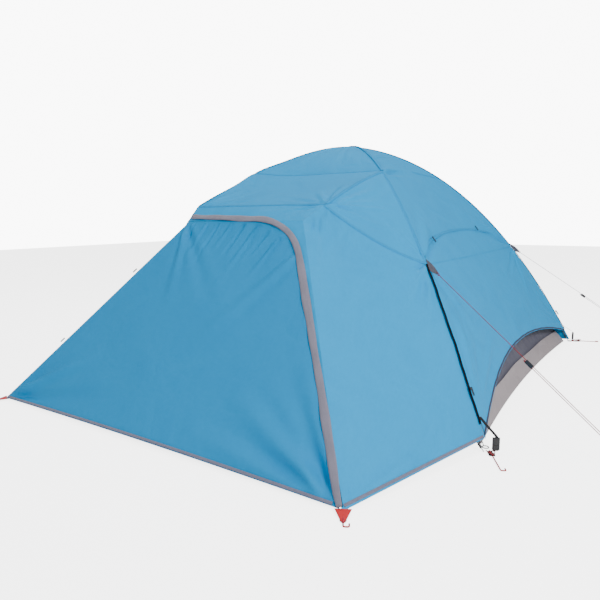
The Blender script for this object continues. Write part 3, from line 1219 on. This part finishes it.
inner_zip = strip_piece("inner_zip_tape", zip_path, np.broadcast_to(WALL_OUT, zip_path.shape), 0.016, 0.0012,
    zip_cloth, "tent")
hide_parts("inner_door_zip")

mesh_grids = []
for facing in WALLS:
    a, b = on_grid(40, 60)
    a = a * 0.985
    edge = inner_wall(facing, np.full(b.shape, TOP_Z - 0.002), b)
    points = lerp(edge, np.broadcast_to(np.array([0, 0, PEAK_Z]), edge.shape), a)
    points = points - UP * (0.02 * np.sin(np.pi * a) * np.sin(np.pi * b))[..., None]
    mesh_grids.append((points, (0, 0, 0)))
cloth("mesh_roof", mesh_grids, mesh_cloth, "tent", ["inner_mesh_roof"])

s, t = on_grid(30, 20)
wall_slope = unit(np.array([-(FLOOR_X - TOP_X), 0.0, TOP_Z]))
inward = unit(np.array([-TOP_Z, 0.0, -(FLOOR_X - TOP_X)]))
mid = np.array([FLOOR_X, 0.0, 0.0]) + wall_slope * (TUB_Z + 0.21)
pocket_points = mid + np.array([0, 1.0, 0]) * ((s - 0.5) * 0.26)[...,
    None] + wall_slope * ((t - 0.5) * 0.15)[..., None]
pocket_points = pocket_points + inward * (0.014 + 0.012 * np.sin(np.pi * s) * t)[..., None]
cloth("pocket", [(pocket_points, (2, 0, 0))], inner_cloth, "tent", ["storage_pocket"])

loop_angle = np.linspace(0, 2 * math.pi, 40)
loop_path = np.stack([0.012 * np.sin(loop_angle), 0 * loop_angle,
    PEAK_Z - 0.042 + 0.030 * np.cos(loop_angle)], axis=-1)
loop_out = np.stack([np.sin(loop_angle), 0 * loop_angle, np.cos(loop_angle)], axis=-1)
lantern = strip_piece("lantern_tape", loop_path, loop_out, 0.010, 0.0012, webbing, "tent")
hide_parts("lantern_loop")
tie_angle = np.linspace(0, 2 * math.pi, 48)
tie_mid = HEIGHT - 0.014 - 0.0055
tie_path = np.stack([0.0165 * np.sin(tie_angle), 0 * tie_angle, tie_mid + 0.0115 * np.cos(tie_angle)],
    axis=-1)
tie = strip_piece("crossing_tape", tie_path, np.stack([np.sin(tie_angle), 0 * tie_angle, np.cos(tie_angle)],
    axis=-1), 0.012, 0.0012, webbing, "tent")
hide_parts("crossing_tie")
hook_path = np.stack([0 * w, 0 * w, PEAK_Z + 0.002 + (tie_mid - 0.012 - PEAK_Z - 0.002) * w], axis=-1)
strip_piece("peak_tape", hook_path, np.broadcast_to(np.array([1.0, 0, 0]), hook_path.shape), 0.010, 0.0012,
    webbing, "tent")

# ---- Corner webbing ----------------------------------------------------------------------------------------
PEG_ANGLE = {FRONT: -62.0, REAR: 18.0}
strap_grids = []


def strap(path, width, across):
    """Flat webbing along a path, five points across."""
    path = curved(path, 30)
    offsets = np.linspace(-0.5, 0.5, 5) * width
    return path[:, None] + np.asarray(across)[None, None] * offsets[None, :, None]


for name, (side, end) in CORNERS.items():
    turn = math.radians(PEG_ANGLE[end])
    out = np.array([side * math.cos(turn), math.sin(turn), 0.0])
    aside = np.cross(UP, out) * side
    corner = np.array([side * HALF_WIDTH, end * HALF_DEPTH, 0.0])
    strap_grids.append((strap([corner + out * 0.008 + UP * 0.0016, corner + out * 0.030 + UP * 0.0012,
        corner + out * 0.050 + UP * 0.0014,
                               corner + out * 0.060 + UP * 0.006, corner + out * 0.052 + UP * 0.0098,
                                   corner + out * 0.040 + UP * 0.0050,
                               corner + out * 0.026 + UP * 0.0030], 0.020, aside), corner - UP))
    spot = corner + out * 0.016 + aside * 0.022
    top = spot + UP * (0.010 + 0.034 + 0.014)
    anchor = arm_point(0.045, side, end) + (np.array([side * 0.004, end * 0.002, 0.0]))
    riser = strap([top - UP * 0.004, top + UP * 0.006, top * 0.5 + anchor * 0.5 + UP * 0.004,
        anchor + UP * 0.004], 0.012, unit(aside))
    cloth(f"buckle_strap_{name}", [(riser, corner - out)], webbing, f"buckle_plug_{name}", (),
        thickness=0.0014)
    strap_grids.append((strap([spot + UP * 0.012, spot + UP * 0.006, spot * 0.6 + corner * 0.4 + UP * 0.002,
        corner + out * 0.012 + UP * 0.0026], 0.020, unit(aside)), corner - out))
cloth("corner_straps", strap_grids, webbing, "tent", (), thickness=0.0014)
red_grids, red_loops = [], []
for side in (RIGHT, LEFT):
    turn = math.radians(-61.0)
    out = np.array([side * math.cos(turn), math.sin(turn), 0.0])
    aside = np.cross(UP, out) * side
    corner = np.array([side * 0.962, -1.780, 0.0])
    a, b = on_grid(16, 9)
    half = 0.027 * (1 - 0.78 * a)
    points = corner + out * (-0.014 + 0.060 * a)[..., None] + aside * ((2 * b - 1) * half)[...,
        None] + UP * (0.0125 - 0.009 * a)[..., None]
    red_grids.append((points, corner - UP))
    loop = [corner + out * 0.022 + aside * 0.006 + UP * 0.004,
        corner + out * 0.036 + aside * 0.009 + UP * 0.0036,
            corner + out * 0.047 + UP * 0.0034, corner + out * 0.036 - aside * 0.009 + UP * 0.0036,
                corner + out * 0.022 - aside * 0.006 + UP * 0.004]
    red_loops.append(curved(loop, 30))
for name, (side, end) in CORNERS.items():
    turn = math.radians(PEG_ANGLE[end])
    out = np.array([side * math.cos(turn), math.sin(turn), 0.0])
    aside = np.cross(UP, out) * side
    corner = np.array([side * HALF_WIDTH, end * HALF_DEPTH, 0.0])
    loop = [corner + out * 0.010 - aside * 0.012 + UP * 0.004,
        corner + out * 0.040 - aside * 0.014 + UP * 0.012,
            corner + out * 0.066 + UP * 0.013, corner + out * 0.040 + aside * 0.013 + UP * 0.012,
                corner + out * 0.012 + aside * 0.012 + UP * 0.004]
    red_loops.append(curved(loop, 34))
cloth("porch_corner_patches", red_grids, red_webbing, "tent", ["corner_webbing"],
    thickness=0.0014)
tube_piece("corner_loops", red_loops, 0.0019, cord_red, "tent", 8)

# ---- Finishes of the pieces that keep their shape --------------------------------------------------------
finishes = {
    "main_pole_a_sections": fibreglass, "main_pole_b_sections": fibreglass, "front_hoop_sections": fibreglass,
    "shock_cords": elastic, "front_hoop_elbows": pole_steel, "pole_ferrules": pole_steel,
        "pole_tips": black_plastic,
    "corner_rings_and_pins": pole_steel, "pole_clips": black_plastic, "door_zip_slider": slider_metal,
    "inner_zip_slider": slider_metal, "toggles": black_plastic, "guy_pegs": peg_paint,
        "corner_pegs": peg_paint,
    "buckle_sockets": black_plastic,
}
for name in CORNERS:
    finishes[f"flap_zip_slider_{name}"] = slider_metal
    finishes[f"line_runner_{name}"] = black_plastic
    finishes[f"buckle_plug_{name}"] = black_plastic
for node, finish in finishes.items():
    thing = bpy.data.objects[node]
    thing.data.materials.clear()
    thing.data.materials.append(finish)

# ---- Floor, world and lights -------------------------------------------------------------------------------
floor_mesh = bpy.data.meshes.new("floor")
floor_mesh.from_pydata([(-14, -14, 0), (14, -14, 0), (14, 14, 0), (-14, 14, 0)], [], [(0, 1, 2, 3)])
floor = bpy.data.objects.new("floor", floor_mesh)
bpy.context.scene.collection.objects.link(floor)
floor_finish = bpy.data.materials.new("pale floor")
floor_finish.use_nodes = True
floor_shader = floor_finish.node_tree.nodes["Principled BSDF"]
floor_shader.inputs["Base Color"].default_value = (0.93, 0.93, 0.93, 1)
floor_shader.inputs["Roughness"].default_value = 0.9
floor_shader.inputs["Specular IOR Level"].default_value = 0.1
floor_paths = floor_finish.node_tree.nodes.new("ShaderNodeLightPath")
floor_shine = math_node(floor_finish.node_tree, "MULTIPLY", floor_paths.outputs[0], 3.8)
floor_finish.node_tree.links.new(floor_shine, floor_shader.inputs["Emission Strength"])
floor_shader.inputs["Emission Color"].default_value = (1, 1, 1, 1)
floor.data.materials.append(floor_finish)

world = bpy.data.worlds.new("studio")
bpy.context.scene.world = world
world.use_nodes = True
background = world.node_tree.nodes["Background"]
background.inputs["Color"].default_value = (1.0, 1.0, 1.0, 1)
paths = world.node_tree.nodes.new("ShaderNodeLightPath")
backdrop = math_node(world.node_tree, "ADD", math_node(world.node_tree, "MULTIPLY", paths.outputs[0], 9.0),
    0.46)
world.node_tree.links.new(backdrop, background.inputs["Strength"])


def soft_light(name, place, target, size, power):
    data = bpy.data.lights.new(name, "AREA")
    data.shape = "DISK"
    data.size = size
    data.energy = power
    light = bpy.data.objects.new(name, data)
    bpy.context.scene.collection.objects.link(light)
    way = mathutils.Vector(target) - mathutils.Vector(place)
    light.rotation_euler = way.to_track_quat("-Z", "Y").to_euler()
    light.location = place


soft_light("key", (4.8, -3.6, 3.6), (0.3, -0.4, 0.4), 2.0, 330.0)
soft_light("fill", (-4.5, -4.5, 3.5), (0, -0.4, 0.4), 4.0, 85.0)
soft_light("top", (-0.5, 1.0, 5.5), (0, 0, 0.5), 3.0, 130.0)
